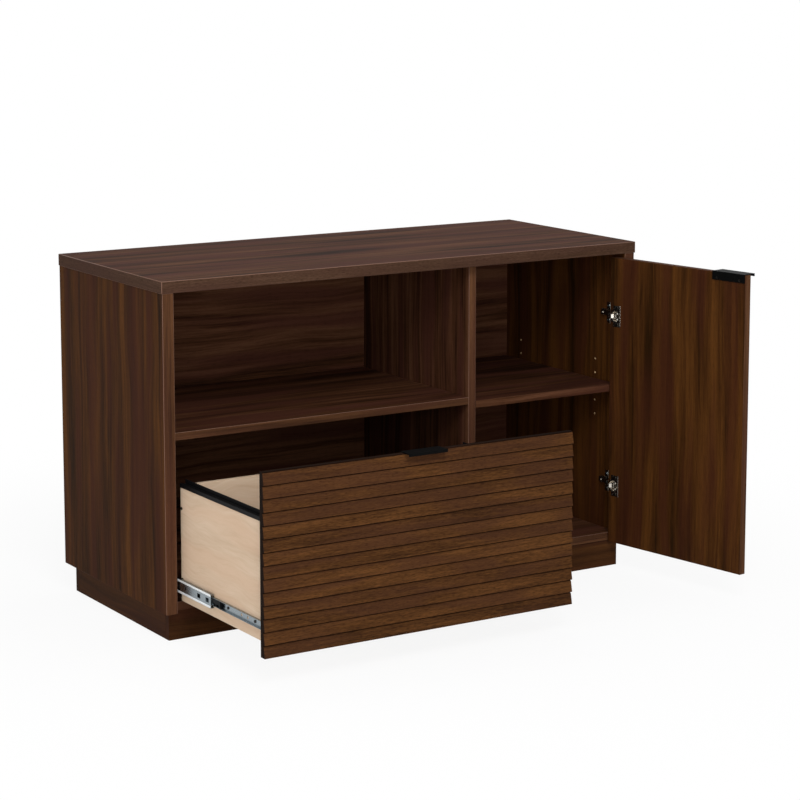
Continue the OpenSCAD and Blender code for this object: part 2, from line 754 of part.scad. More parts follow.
// The lower screw sits just over the slide's inner member
corner_screw_down = 48;
corner_screw_rows = [slide_z - box_z + inner_h / 2 + small_head_d / 2 + corner_screw_gap,
    side_h - corner_screw_down];
pull_screw_xs = [pull_screw_in, pull_w - pull_screw_in];
tab_screw_up = 8;
corner_screw_in = 22;
corner_screw_len = side_t + corner_screw_in;
drawer_screw_places = concat(
    [for (s = inner_screws)
        [[box_left_x - slide_sheet, slide_y + s, slide_z], [1, 0, 0], short_screw]],
    [for (s = inner_screws)
        [[box_right_x + slide_sheet, slide_y + s, slide_z], [-1, 0, 0], short_screw]],
    [for (x = pull_screw_xs)
        [[drawer_pull_x + x, board_back_y + pull_t, drawer_top_z - pull_screw_down],
            [0, -1, 0], short_screw]],
    [for (x = [-centre_rib / 2, centre_rib / 2])
        [[box_mid_x + x, board_back_y + 2 * rail_wall, box_top_z - rail_tab_h + tab_screw_up],
            [0, -1, 0], short_screw]],
    [for (z = corner_screw_rows)
        [[box_left_x, box_back_y - side_t / 2, box_z + z], [1, 0, 0], corner_screw_len]],
    [for (z = corner_screw_rows)
        [[box_right_x, box_back_y - side_t / 2, box_z + z], [-1, 0, 0], corner_screw_len]]);
module drawer_screw_cuts() { screw_holes(drawer_screw_places); }
module drawer_screws() { color(zinc) with_drawer() screws(drawer_screw_places, small_head_d); }

// Door
module door_panel() {
    color(walnut) with_door() difference() {
        block([door_x, end_front_y, fronts_z], [door_edge_x, door_in_y, door_top_z]);
        for (z = hinge_z) bar([cup_x, door_in_y + through, z], [0, -1, 0], cup_depth + through, cup_d);
        door_screw_cuts();
    }
}
door_screw_places = concat(
    [for (z = hinge_z, dz = [-cup_screw_dz, cup_screw_dz])
        [[cup_screw_x, door_in_y + flange_t, z + dz], [0, -1, 0], short_screw]],
    [for (x = pull_screw_xs)
        [[door_pull_x + x, door_in_y + pull_t, door_top_z - pull_screw_down],
            [0, -1, 0], short_screw]]);
module door_screw_cuts() { screw_holes(door_screw_places); }
module door_screws() { color(zinc) with_door() screws(door_screw_places, small_head_d); }

// Hinge cup with its flange, its two ears and pin B
ear_r = 2.4;
cup_fit = 0.05;
flange_step = 6;
flange_nose_half = 13;
module hinge_cup(z) {
    color(zinc) with_door() {
        difference() {
            union() {
                bar([cup_x, door_in_y, z], [0, -1, 0], cup_depth - cup_fit, cup_d - 2 * cup_fit);
                block([cup_x - flange_half_w, door_in_y, z - flange_h / 2],
                    [cup_x + flange_half_w - flange_step, door_in_y + flange_t, z + flange_h / 2]);
                block([cup_x, door_in_y, z - flange_nose_half],
                    [cup_x + flange_half_w, door_in_y + flange_t, z + flange_nose_half]);
            }
            bar([cup_x, door_in_y + flange_t + through, z], [0, -1, 0],
                cup_depth + flange_t + through - cup_wall, cup_d - 2 * cup_wall);
            for (dz = [-cup_screw_dz, cup_screw_dz])
                bar([cup_screw_x, door_in_y + flange_t + through, z + dz], [0, -1, 0],
                    flange_t + 2 * through, screw_d);
        }
        for (half = [0, 1]) translate([0, 0, z]) mirror([0, 0, half]) {
            translate([pin_b_shut[0], pin_b_shut[1], ear_in]) cylinder(r = ear_r, h = ear_out - ear_in);
            block([pin_b_shut[0] - ear_r, door_in_y - cup_depth + cup_wall, ear_in],
                [pin_b_shut[0] + ear_r, pin_b_shut[1], ear_out]);
            translate([pin_b_shut[0], pin_b_shut[1], link_in])
                cylinder(d = hinge_pin_d, h = ear_out - link_in);
        }
    }
}
module hinge_cup_lower() { hinge_cup(hinge_z[0]); }
module hinge_cup_upper() { hinge_cup(hinge_z[1]); }

// Hinge link: two plates with a bore at each end, one on each side of the arm's tongue
link_r = 2.2;
link_waist = 0.6;
module hinge_link(z) {
    color(zinc) with_link() for (half = [0, 1])
        translate([pin_a[0], pin_a[1], z]) mirror([0, 0, half]) rotate(link_shut_angle) link_plate();
}
module link_plate() {
    bore = hinge_pin_d + 2 * hinge_pin_fit;
    translate([0, 0, link_in]) linear_extrude(link_out - link_in) difference() {
        union() {
            circle(r = link_r);
            translate([link_len, 0]) circle(r = link_r);
            translate([0, link_waist - link_r]) square([link_len, 2 * (link_r - link_waist)]);
        }
        for (x = [0, link_len]) translate([x, 0]) circle(d = bore);
    }
}
module hinge_links() { for (z = hinge_z) hinge_link(z); }

// Hinge arm: a tongue that carries pin A, cranked round the door's edge to a base on the plate
arm_path = [[0, 0], [-5.4, 0.75], [-8.8, 3.35], [-9.8, 8.35], [-9, 14.35], [-3.4, 21.35], [3.6, 23.85],
    [pin_a_in - 4, 23.85]];
arm_w = 4;
arm_base_half = 6;
arm_base_t = 4;
function unit(v) = v / norm(v);
function left_of(v) = [-v[1], v[0]];
// A corner of the path moved sideways by half a width, mitred between the runs before and after it
function mitre(path, i, half) =
    let (last = len(path) - 1,
        a = left_of(unit(i > 0 ? path[i] - path[i - 1] : path[1] - path[0])),
        b = left_of(unit(i < last ? path[i + 1] - path[i] : path[last] - path[last - 1])),
        n = unit(a + b))
    path[i] + half * n / (n * a);
module arm_outline() {
    last = len(arm_path) - 1;
    polygon(concat([for (i = [0 : last]) mitre(arm_path, i, arm_w / 2)],
        [for (i = [last : -1 : 0]) mitre(arm_path, i, -arm_w / 2)]));
    circle(r = link_r);
}
module hinge_arm(z) {
    base_x = bay_right_x - plate_t;
    base_y = pin_a[1] + arm_path[len(arm_path) - 1][1] - arm_w / 2;
    color(zinc) difference() {
        union() {
            translate([pin_a[0], pin_a[1], z - tongue_half])
                linear_extrude(2 * tongue_half) arm_outline();
            translate([pin_a[0], pin_a[1], z - link_out])
                cylinder(d = hinge_pin_d, h = 2 * link_out);
            block([base_x - arm_base_t, base_y, z - arm_base_half],
                [base_x, plate_screw_y + plate_tail, z + arm_base_half]);
        }
        for (y = arm_bolt_ys)
            bar([base_x - arm_base_t - through, y, z], [1, 0, 0], arm_bolt_deep + through, arm_bolt_d);
    }
}
module hinge_arm_lower() { hinge_arm(hinge_z[0]); }
module hinge_arm_upper() { hinge_arm(hinge_z[1]); }

// Hinge plate: a cross with two wings, screwed to the end panel
module hinge_plate(z) {
    color(zinc) difference() {
        union() {
            block([bay_right_x - plate_t, plate_screw_y - plate_wing / 2, z - plate_wing_half],
                [bay_right_x, plate_screw_y + plate_wing / 2, z + plate_wing_half]);
            block([bay_right_x - plate_t, plate_screw_y - plate_nose, z - plate_spine_half],
                [bay_right_x, plate_screw_y + plate_tail, z + plate_spine_half]);
        }
        for (dz = [-plate_screw_dz, plate_screw_dz])
            bar([bay_right_x + through, plate_screw_y, z + dz], [-1, 0, 0],
                plate_t + 2 * through, screw_d);
    }
}
module hinge_plate_lower() { hinge_plate(hinge_z[0]); }
module hinge_plate_upper() { hinge_plate(hinge_z[1]); }

top_panel();
left_end_panel();
right_end_panel();
divider_panel();
bottom_panel();
fixed_shelf();
adjustable_shelf();
shelf_pins();
back_panel();
plinth_front();
plinth_back();
plinth_left();
plinth_right();
plinth_centre();
dowels();
cam_locks();
cam_bolts();
cabinet_screws();
slide_outer_left();
slide_outer_right();
hinge_plate_upper();
hinge_plate_lower();
hinge_arm_upper();
hinge_arm_lower();
hinge_links();
door_panel();
door_pull();
hinge_cup_upper();
hinge_cup_lower();
door_screws();
slide_middle_left();
slide_middle_right();
slide_ball_cages();
drawer_front_board();
for (i = [1 : slat_count]) slat(i);
drawer_side_left();
drawer_side_right();
drawer_back();
drawer_bottom();
file_rail_left();
file_rail_right();
file_rail_centre();
slide_inner_left();
slide_inner_right();
slide_levers();
drawer_pull();
drawer_screws();
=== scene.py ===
"""A low office credenza, dressed over its packed construction model.

Walnut laminate boards stand round an open bay, a file drawer with a slatted front and a bay behind
a flat door on concealed hinges. Every finish is made of nodes, and every board is a softened copy of
its construction solid that carries its own grain coordinates.
"""

import json
import logging
import math
import random
from dataclasses import dataclass
from enum import Enum
from typing import Any

import bmesh
import bpy
from mathutils import Matrix, Vector

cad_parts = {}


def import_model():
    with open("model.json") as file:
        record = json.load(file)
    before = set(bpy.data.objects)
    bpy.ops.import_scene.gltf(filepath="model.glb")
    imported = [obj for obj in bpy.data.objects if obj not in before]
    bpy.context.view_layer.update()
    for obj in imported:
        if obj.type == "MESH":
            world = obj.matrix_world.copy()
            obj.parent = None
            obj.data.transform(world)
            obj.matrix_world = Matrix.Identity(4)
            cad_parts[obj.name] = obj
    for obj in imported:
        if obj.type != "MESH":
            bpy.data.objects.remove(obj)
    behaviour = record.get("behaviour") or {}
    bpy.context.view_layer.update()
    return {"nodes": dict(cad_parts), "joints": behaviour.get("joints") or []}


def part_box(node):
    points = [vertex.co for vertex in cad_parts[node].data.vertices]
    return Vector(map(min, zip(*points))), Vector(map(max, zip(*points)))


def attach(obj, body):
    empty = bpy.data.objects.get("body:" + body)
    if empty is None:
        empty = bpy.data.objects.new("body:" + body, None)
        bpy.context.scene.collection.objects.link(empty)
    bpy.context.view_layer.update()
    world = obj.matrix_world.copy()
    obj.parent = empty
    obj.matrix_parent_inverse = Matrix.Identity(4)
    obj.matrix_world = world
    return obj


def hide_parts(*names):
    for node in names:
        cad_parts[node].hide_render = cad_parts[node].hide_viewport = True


LOG = logging.getLogger("credenza")
MM = 0.001
WHITE = (1.0, 1.0, 1.0, 1.0)
# The layers that carry a board's grain coordinates and its shade from -1 to 1
GRAIN_UV = "grain"
TONE = "tone"
# The middle of a noise's range and of the wood's colour ramp
MIDDLE = 0.5
# Cleaning of a construction mesh: points nearer than this are one, and smaller turns are flat
MERGE_DISTANCE = 0.01 * MM
FLAT_TURN = math.radians(0.5)
# An outward edge that turns by more than this is an arris
ARRIS_TURN = math.radians(35.0)
# An edge where the surface turns by more than this is shaded sharp
SHARP_TURN = math.radians(32.0)
# Faces narrower than this belong to a rounding or a curved wall, and wider ones are flat
CURVED_WIDTH = 2.0 * MM
# How near a side of its board's box an edge or a face has to lie to be on it
EDGE_REACH = 0.05 * MM
FACE_REACH = 0.1 * MM
# The arrises carry a painted highlight, but one that looks down by more than this has the band's
# colour, as no light catches it
DOWNWARD = -0.1
# A board's grain starts anywhere within this range, so that no two boards match
GRAIN_RANGE = 40.0
# Roll-formed strip: the arrises over this length are rolled, with this radius
ROLLED_LENGTH = 250.0 * MM
ROLL = 2.2 * MM
# The bead along a middle slide member's web: its rise and half its height. It carries a painted highlight
SLIDE_BEAD = (1.4 * MM, 2.4 * MM)

Colour = tuple[float, float, float, float]
Nodes = dict[str, bpy.types.Object]


class Axis(Enum):
    """A direction of the row frame, by its index in a vector."""

    X = 0
    Y = 1
    Z = 2


class Face(Enum):
    """The surfaces of a board, by material index. INNER looks along + of the board's thickness."""

    FACE = 0
    BAND = 1
    CORE = 2
    ARRIS = 3
    INNER = 4


def linear(hex_colour: str) -> Colour:
    """Turn an sRGB hex colour into linear values.

    Args:
        hex_colour: six hex digits, with or without a leading hash.

    Returns:
        Red, green, blue and an alpha of 1.
    """
    digits = hex_colour.lstrip("#")
    channels = []
    for start in (0, 2, 4):
        value = int(digits[start : start + 2], 16) / 255.0
        channels.append(value / 12.92 if value <= 0.04045 else ((value + 0.055) / 1.055) ** 2.4)
    return channels[0], channels[1], channels[2], 1.0


def add_node(
    tree: bpy.types.NodeTree,
    kind: str,
    inputs: dict[str | int, Any] | None = None,
    **settings: Any,
) -> bpy.types.Node:
    """Add a shader node with its settings, values and links.

    Args:
        tree: the material's node tree.
        kind: the node's type without the ShaderNode prefix.
        inputs: socket names or indices, each with a value or with the output socket to link.
        settings: the node's own properties.

    Returns:
        The new node.
    """
    node = tree.nodes.new("ShaderNode" + kind)
    for name, value in settings.items():
        setattr(node, name, value)
    for key, value in (inputs or {}).items():
        if isinstance(value, bpy.types.NodeSocket):
            tree.links.new(value, node.inputs[key])
        else:
            node.inputs[key].default_value = value
    return node


def calculate(
    tree: bpy.types.NodeTree, operation: str, *values: float | bpy.types.NodeSocket
) -> bpy.types.NodeSocket:
    """Add a maths node.

    Args:
        tree: the node tree.
        operation: what it does.
        values: its inputs in order, each a number or a socket to link.

    Returns:
        The result.
    """
    return add_node(tree, "Math", dict(enumerate(values)), operation=operation).outputs[0]


def mix_colours(
    tree: bpy.types.NodeTree,
    share: bpy.types.NodeSocket,
    first: Colour | bpy.types.NodeSocket,
    second: Colour | bpy.types.NodeSocket,
) -> bpy.types.NodeSocket:
    """Mix two colours.

    Args:
        tree: the material's node tree.
        share: how much of the second colour shows.
        first: the first colour or its socket.
        second: the second colour or its socket.

    Returns:
        The mixed colour.
    """
    mixed = add_node(tree, "Mix", {"Factor": share}, data_type="RGBA")
    for name, value in (("A", first), ("B", second)):
        socket = next(i for i in mixed.inputs if i.name == name and i.type == "RGBA")
        if isinstance(value, bpy.types.NodeSocket):
            tree.links.new(value, socket)
        else:
            socket.default_value = value
    return next(o for o in mixed.outputs if o.type == "RGBA")


def set_ramp(ramp: bpy.types.Node, stops: list[tuple[float, str]]) -> None:
    """Give a colour ramp its stops.

    Args:
        ramp: the ValToRGB node.
        stops: place and sRGB hex colour of each stop, in rising order.
    """
    elements = ramp.color_ramp.elements
    while len(elements) < len(stops):
        elements.new(0.5)
    for element, (place, colour) in zip(elements, stops):
        element.position = place
        element.color = linear(colour)


def new_material(name: str) -> tuple[bpy.types.Material, bpy.types.Node]:
    """Make an empty material with a Principled shader.

    Args:
        name: the material's name.

    Returns:
        The material and its shader node.
    """
    material = bpy.data.materials.new(name)
    material.use_nodes = True
    tree = material.node_tree
    tree.nodes.clear()
    shader = add_node(tree, "BsdfPrincipled")
    add_node(tree, "OutputMaterial", {"Surface": shader.outputs["BSDF"]})
    return material, shader


@dataclass(frozen=True)
class WoodFinish:
    """A board's decor: soft bands, streaks, fine grain and pores along the grain coordinates.

    A second hue drifts in and out, as the red and the olive parts of walnut do. Each pattern has its
    size across the grain and along it, in millimetres on the board. weights says how much the bands,
    the streaks and the fibre count in the colour ramp, and tone_range how much the board's shade does.
    The noise limits say where in the noise, which runs mostly from 0.3 to 0.7, the drift and the pores
    set in and are full. sway is how far the grain bends to either side, in millimetres.
    """

    name: str
    shadow: str
    ground: str
    light: str
    drift: str
    pore: str
    band: tuple[float, float] = (38.0, 700.0)
    streak: tuple[float, float] = (9.0, 420.0)
    fibre: tuple[float, float] = (1.7, 60.0)
    patch: tuple[float, float] = (52.0, 460.0)
    pores: tuple[float, float] = (0.9, 16.0)
    weights: tuple[float, float, float] = (1.25, 0.5, 0.4)
    ramp_places: tuple[float, float, float] = (0.24, 0.5, 0.78)
    drift_noise: tuple[float, float] = (0.44, 0.6)
    drift_share: float = 0.7
    pore_noise: tuple[float, float] = (0.56, 0.72)
    pore_depth: float = 0.25
    sway: float = 16.0
    sway_size: tuple[float, float] = (120.0, 330.0)
    tone_range: float = 0.3
    roughness: float = 0.55
    rough_spread: tuple[float, float] = (-0.05, 0.07)
    gloss: float = 0.02
    bump: float = 0.12
    bump_height: float = 0.2 * MM

    def build(self) -> bpy.types.Material:
        """Make the material.

        Returns:
            The material, which reads the grain UV map and the tone attribute.
        """
        material, shader = new_material(self.name)
        tree = material.node_tree
        grain = self._swayed(tree, add_node(tree, "UVMap", uv_map=GRAIN_UV).outputs["UV"])
        tone = add_node(tree, "Attribute", attribute_name=TONE).outputs["Fac"]
        fibre = self._noise(tree, grain, self.fibre, detail=2.0)
        band = self._noise(tree, grain, self.band, detail=2.0)
        streak = self._noise(tree, grain, self.streak, detail=2.0)
        value = calculate(tree, "MULTIPLY_ADD", tone, self.tone_range, MIDDLE)
        for layer, weight in zip((band, streak, fibre), self.weights):
            centred = calculate(tree, "SUBTRACT", layer, MIDDLE)
            value = calculate(tree, "MULTIPLY_ADD", centred, weight, value)
        ramp = add_node(tree, "ValToRGB", {"Fac": value})
        set_ramp(ramp, list(zip(self.ramp_places, (self.shadow, self.ground, self.light))))
        drifting = self._where(
            tree, self._noise(tree, grain, self.patch, detail=1.0), self.drift_noise, self.drift_share
        )
        hued = mix_colours(tree, drifting, ramp.outputs["Color"], linear(self.drift))
        # The pores are drawn coarser than real ones, so that they show
        pores = self._where(
            tree, self._noise(tree, grain, self.pores, detail=0.0), self.pore_noise, self.pore_depth
        )
        colour = mix_colours(tree, pores, hued, linear(self.pore))
        tree.links.new(colour, shader.inputs["Base Color"])
        lowest, highest = (self.roughness + spread for spread in self.rough_spread)
        rough = add_node(tree, "MapRange", {"Value": fibre, "To Min": lowest, "To Max": highest})
        tree.links.new(rough.outputs[0], shader.inputs["Roughness"])
        height = calculate(tree, "SUBTRACT", fibre, pores)
        bump = add_node(
            tree, "Bump", {"Height": height, "Strength": self.bump, "Distance": self.bump_height}
        )
        tree.links.new(bump.outputs["Normal"], shader.inputs["Normal"])
        shader.inputs["Specular IOR Level"].default_value = self.gloss
        return material

    def _swayed(self, tree: bpy.types.NodeTree, grain: bpy.types.NodeSocket) -> bpy.types.NodeSocket:
        """Bend the grain gently from side to side.

        Args:
            tree: the material's node tree.
            grain: the straight grain coordinates in metres.

        Returns:
            The bent coordinates.
        """
        slow = self._noise(tree, grain, self.sway_size, detail=1.0)
        reach = self.sway * MM
        aside = add_node(tree, "MapRange", {"Value": slow, "To Min": -reach, "To Max": reach})
        offset = add_node(tree, "CombineXYZ", {"Y": aside.outputs[0]})
        return add_node(tree, "VectorMath", {0: grain, 1: offset.outputs[0]}, operation="ADD").outputs[0]

    @staticmethod
    def _noise(
        tree: bpy.types.NodeTree,
        grain: bpy.types.NodeSocket,
        size: tuple[float, float],
        detail: float,
    ) -> bpy.types.NodeSocket:
        """Add noise that is stretched along the grain.

        Args:
            tree: the material's node tree.
            grain: the grain coordinates in metres.
            size: size of a patch across and along the grain, in millimetres.
            detail: octaves of the noise.

        Returns:
            The noise value, mostly from 0.3 to 0.7.
        """
        across, along = (1.0 / (k * MM) for k in size)
        mapped = add_node(tree, "Mapping", {"Vector": grain, "Scale": (along, across, 1.0)})
        inputs = {"Vector": mapped.outputs[0], "Scale": 1.0, "Detail": detail, "Roughness": 0.5}
        return add_node(tree, "TexNoise", inputs).outputs[0]

    @staticmethod
    def _where(
        tree: bpy.types.NodeTree,
        noise: bpy.types.NodeSocket,
        limits: tuple[float, float],
        most: float,
    ) -> bpy.types.NodeSocket:
        """Let something show only where a noise is high.

        Args:
            tree: the material's node tree.
            noise: the noise.
            limits: the noise at which it sets in, and at which it is full.
            most: how much shows where it is full.

        Returns:
            How much shows, from 0 to the most.
        """
        inputs = {"Value": noise, "From Min": limits[0], "From Max": limits[1], "To Max": most}
        return add_node(tree, "MapRange", inputs).outputs[0]


@dataclass(frozen=True)
class PlainFinish:
    """A moulded, painted or plated surface with a fine surface texture.

    grit is the size of the texture's grains in millimetres, drawn coarse enough to show, and stretch
    scales the pattern on each axis, where less than 1 draws it out. mottle is how much the colour
    varies either way.
    """

    name: str
    colour: str
    roughness: float
    metallic: float = 0.0
    gloss: float = 0.5
    grit: float = 1.0
    stretch: tuple[float, float, float] = (1.0, 1.0, 1.0)
    mottle: float = 0.12
    rough_spread: float = 0.06
    bump: float = 0.1
    bump_height: float = 0.1 * MM

    def build(self) -> bpy.types.Material:
        """Make the material.

        Returns:
            The material, patterned on object coordinates.
        """
        material, shader = new_material(self.name)
        tree = material.node_tree
        place = add_node(tree, "TexCoord").outputs["Object"]
        scaled = add_node(tree, "Mapping", {"Vector": place, "Scale": self.stretch}).outputs[0]
        inputs = {"Vector": scaled, "Scale": 1.0 / (self.grit * MM), "Detail": 2.0}
        noise = add_node(tree, "TexNoise", inputs).outputs[0]
        darker = self._shaded(1.0 - self.mottle)
        lighter = self._shaded(1.0 + self.mottle)
        tree.links.new(mix_colours(tree, noise, darker, lighter), shader.inputs["Base Color"])
        lowest = self.roughness - self.rough_spread
        highest = self.roughness + self.rough_spread
        rough = add_node(tree, "MapRange", {"Value": noise, "To Min": lowest, "To Max": highest})
        tree.links.new(rough.outputs[0], shader.inputs["Roughness"])
        bump = add_node(
            tree, "Bump", {"Height": noise, "Strength": self.bump, "Distance": self.bump_height}
        )
        tree.links.new(bump.outputs["Normal"], shader.inputs["Normal"])
        shader.inputs["Metallic"].default_value = self.metallic
        shader.inputs["Specular IOR Level"].default_value = self.gloss
        return material

    def _shaded(self, factor: float) -> Colour:
        """Give the finish's colour, darker or lighter.

        Args:
            factor: what each channel is multiplied by, up to full light.

        Returns:
            The linear colour.
        """
        red, green, blue = (min(1.0, c * factor) for c in linear(self.colour)[:3])
        return red, green, blue, 1.0


# Melamine board with a walnut decor: a printed paper under resin, so the figure lies flat. The gloss is
# kept very low, and a painted sheen stands in for the top's: the colour is greyer and lighter than the
# upright copy's
LAMINATE = WoodFinish(
    "walnut_laminate", "#22130C", "#422819", "#5A3B29", "#45271F", "#1A0E08",
    weights=(1.4, 0.9, 0.5), gloss=0.01,
)
# The same decor with its figure upright, on the ends and the door: warmer and a little darker, a
# painted shade against the flat copy's painted sheen
UPRIGHT = WoodFinish(
    "walnut_laminate_upright_painted_shade", "#221306", "#3C220D", "#503013", "#391C11", "#190D04",
    weights=(1.4, 0.7, 0.6), drift_share=0.65,
)
# The same decor on the plinth, a shade darker: painted shade, as the plinth stands back under the cabinet
LAMINATE_DARK = WoodFinish(
    "walnut_laminate_plinth_painted_shade", "#1F1108", "#382110", "#4B2E17", "#331B11", "#170C05",
)
# Edge band: the decor's narrow strip, lighter than the faces, partly in its own colour and partly as
# painted light, as the front edges catch more light than the faces
BAND = WoodFinish(
    "walnut_edge_band", "#342016", "#492F1E", "#5B3D28", "#452A1F", "#28180F",
    band=(12.0, 420.0), streak=(3.5, 190.0), sway=3.0,
)
# Edge band of the top: nearly even, with the short dark ticks of end grain
TOP_BAND = WoodFinish(
    "walnut_edge_band_top", "#33231A", "#432F23", "#523D30", "#3F2A22", "#21150F",
    band=(12.0, 420.0), streak=(3.5, 60.0), fibre=(1.6, 9.0), pores=(1.4, 9.0),
    weights=(0.4, 0.5, 0.7), pore_depth=0.4, sway=3.0,
)
# Slats: decor cut from different sheets, so each has a tone of its own and shifts its hue along its
# length
SLATS = WoodFinish(
    "walnut_slats", "#29180C", "#442A15", "#58381D", "#3D2518", "#1B0F07",
    band=(20.0, 230.0), streak=(4.5, 90.0), fibre=(1.6, 16.0), patch=(44.0, 190.0),
    pores=(1.3, 9.0), weights=(0.55, 0.6, 0.8), drift_share=0.55, pore_depth=0.4, sway=3.0,
    tone_range=0.1,
)
# Painted shade: the backing and the slats' narrow sides, seen in the slots between the slats, are near
# black, and the front's ends have the same dark colour
SLOT = WoodFinish("walnut_dark_painted_shade", "#110A06", "#1A0F09", "#26170F", "#170D08", "#0C0604")
# Maple drawer box: pale foil, nearly even, with faint long streaks
MAPLE = WoodFinish(
    "maple_foil", "#BEA389", "#C9B198", "#D2BCA5", "#CAAB90", "#AD9175",
    band=(30.0, 170.0), streak=(8.0, 70.0), weights=(0.6, 0.5, 0.35), drift_share=0.5,
    pore_depth=0.1, sway=20.0, sway_size=(60.0, 110.0), roughness=0.45, gloss=0.05, bump=0.04,
)
# The arris where band and face meet: a painted highlight, lighter than the band, for the light
# that the rounded edge catches
ARRIS = PlainFinish("arris_painted_highlight", "#6E5244", 0.42, gloss=0.1, grit=6.0)
# Raw particle board in the drilled holes: pale and rough, and near enough to the beech of the dowels
CORE = PlainFinish("particle_core", "#B99B74", 0.85, grit=1.6, mottle=0.3, bump=0.4)
# Zinc-plated steel strip: a cool, slightly mottled plating with rolling marks along the slide
ZINC = PlainFinish(
    "zinc_plated_steel", "#8C959A", 0.26, 1.0, grit=3.0, stretch=(1.0, 0.15, 1.0), bump=0.05,
)
# The beads' zinc: brighter, with a soft spread of light, a painted highlight along the slide
BEAD_HIGHLIGHT = PlainFinish(
    "zinc_bead_painted_highlight", "#E2E6E8", 0.35, 0.45, grit=3.0, stretch=(1.0, 0.15, 1.0), bump=0.03,
)
# Black oxide screws: an oiled conversion coat that keeps the steel's glint
BLACK_OXIDE = PlainFinish("black_oxide_steel", "#35322F", 0.4, 1.0, grit=1.0, bump=0.05)
# Nickel-plated hinge stampings: brighter and smoother than the zinc
NICKEL = PlainFinish("nickel_plated_steel", "#BDB7AE", 0.24, 1.0, grit=2.0, mottle=0.06, bump=0.04)
# Black powder coat: the orange-peel grain of baked powder
POWDER = PlainFinish(
    "black_powder_coat", "#090909", 0.45, gloss=0.02, grit=0.8, mottle=0.15, bump=0.15,
)
# Black moulded polypropylene: the even, slightly waxy skin of the rails and levers
PLASTIC = PlainFinish(
    "black_moulded_plastic", "#0D0D0E", 0.42, gloss=0.05, grit=1.2, mottle=0.15, bump=0.12,
)


class Palette:
    """Builds each finish once and hands it out by name."""

    def __init__(self) -> None:
        """Start with no material made."""
        self._made: dict[str, bpy.types.Material] = {}

    def get(self, finish: WoodFinish | PlainFinish) -> bpy.types.Material:
        """Give the material of a finish.

        Args:
            finish: the finish wanted.

        Returns:
            Its material, made at the first call.
        """
        if finish.name not in self._made:
            self._made[finish.name] = finish.build()
        return self._made[finish.name]


def copied_mesh(nodes: Nodes, node: str) -> bmesh.types.BMesh:
    """Copy a construction solid and join its loose triangles into clean faces.

    Args:
        nodes: the frame's nodes.
        node: the node's name.

    Returns:
        The copy, with doubles merged and flat regions dissolved.
    """
    bm = bmesh.new()
    bm.from_mesh(nodes[node].data)
    bmesh.ops.remove_doubles(bm, verts=bm.verts, dist=MERGE_DISTANCE)
    bmesh.ops.dissolve_limit(bm, angle_limit=FLAT_TURN, verts=bm.verts, edges=bm.edges)
    bm.normal_update()
    return bm


def arrises(bm: bmesh.types.BMesh) -> list[bmesh.types.BMEdge]:
    """List the outward arrises of a mesh.

    Args:
        bm: the mesh.

    Returns:
        Convex edges between two faces that turn sharply.
    """
    return [
        e for e in bm.edges
        if len(e.link_faces) == 2 and e.is_convex and e.calc_face_angle(0.0) > ARRIS_TURN
    ]


def soften(
    bm: bmesh.types.BMesh, width: float, edges: list[bmesh.types.BMEdge], segments: int
) -> set[int]:
    """Round a mesh's arrises.

    Args:
        bm: the mesh.
        width: width of the rounding in metres.
        edges: the edges to round.
        segments: faces across the rounding.

    Returns:
        The indices of the new faces.
    """
    made = bmesh.ops.bevel(
        bm, geom=edges, offset=width, offset_type="OFFSET", segments=segments, profile=0.5,
        affect="EDGES", material=-1, clamp_overlap=True,
    )
    bm.normal_update()
    bm.faces.index_update()
    return {f.index for f in made["faces"]}


def relisted(bm: bmesh.types.BMesh) -> bmesh.types.BMesh:
    """Copy a mesh into a fresh one that lists its edges and faces alike in every run.

    After a bevel the order can vary from run to run, and what is built next can vary with it.

    Args:
        bm: the mesh, which is freed.

    Returns:
        The copy, with edges and faces in the order of their points.
    """
    bm.verts.index_update()
    for elements in (bm.edges, bm.faces):
        ranked = sorted(elements, key=lambda element: sorted(v.index for v in element.verts))
        for rank, element in enumerate(ranked):
            element.index = rank
        elements.sort()
    mesh = bpy.data.meshes.new("relisted")
    bm.to_mesh(mesh)
    bm.free()
    fresh = bmesh.new()
    fresh.from_mesh(mesh)
    bpy.data.meshes.remove(mesh)
    return fresh


def finished(
    bm: bmesh.types.BMesh,
    name: str,
    body: str,
    node: str,
    materials: list[bpy.types.Material],
) -> bpy.types.Object:
    """Turn a mesh into a piece that rides on a body and stands for its node.

    Args:
        bm: the mesh, which is freed.
        name: the piece's name.
        body: the body it rides on.
        node: the construction node that it replaces.
        materials: its materials, by face index.

    Returns:
        The piece.
    """
    for edge in bm.edges:
        edge.smooth = edge.calc_face_angle(0.0) < SHARP_TURN
    mesh = bpy.data.meshes.new(name)
    bm.to_mesh(mesh)
    bm.free()
    piece = bpy.data.objects.new(name, mesh)
    bpy.context.scene.collection.objects.link(piece)
    for material in materials:
        mesh.materials.append(material)
    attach(piece, body)
    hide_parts(node)
    LOG.info("%s: %d faces on %s", name, len(mesh.polygons), body)
    return piece


def dress(node: bpy.types.Object, material: bpy.types.Material) -> None:
    """Give a construction node that keeps its shape its finish.

    Args:
        node: the node's object.
        material: its material.
    """
    node.data.materials.clear()
    node.data.materials.append(material)


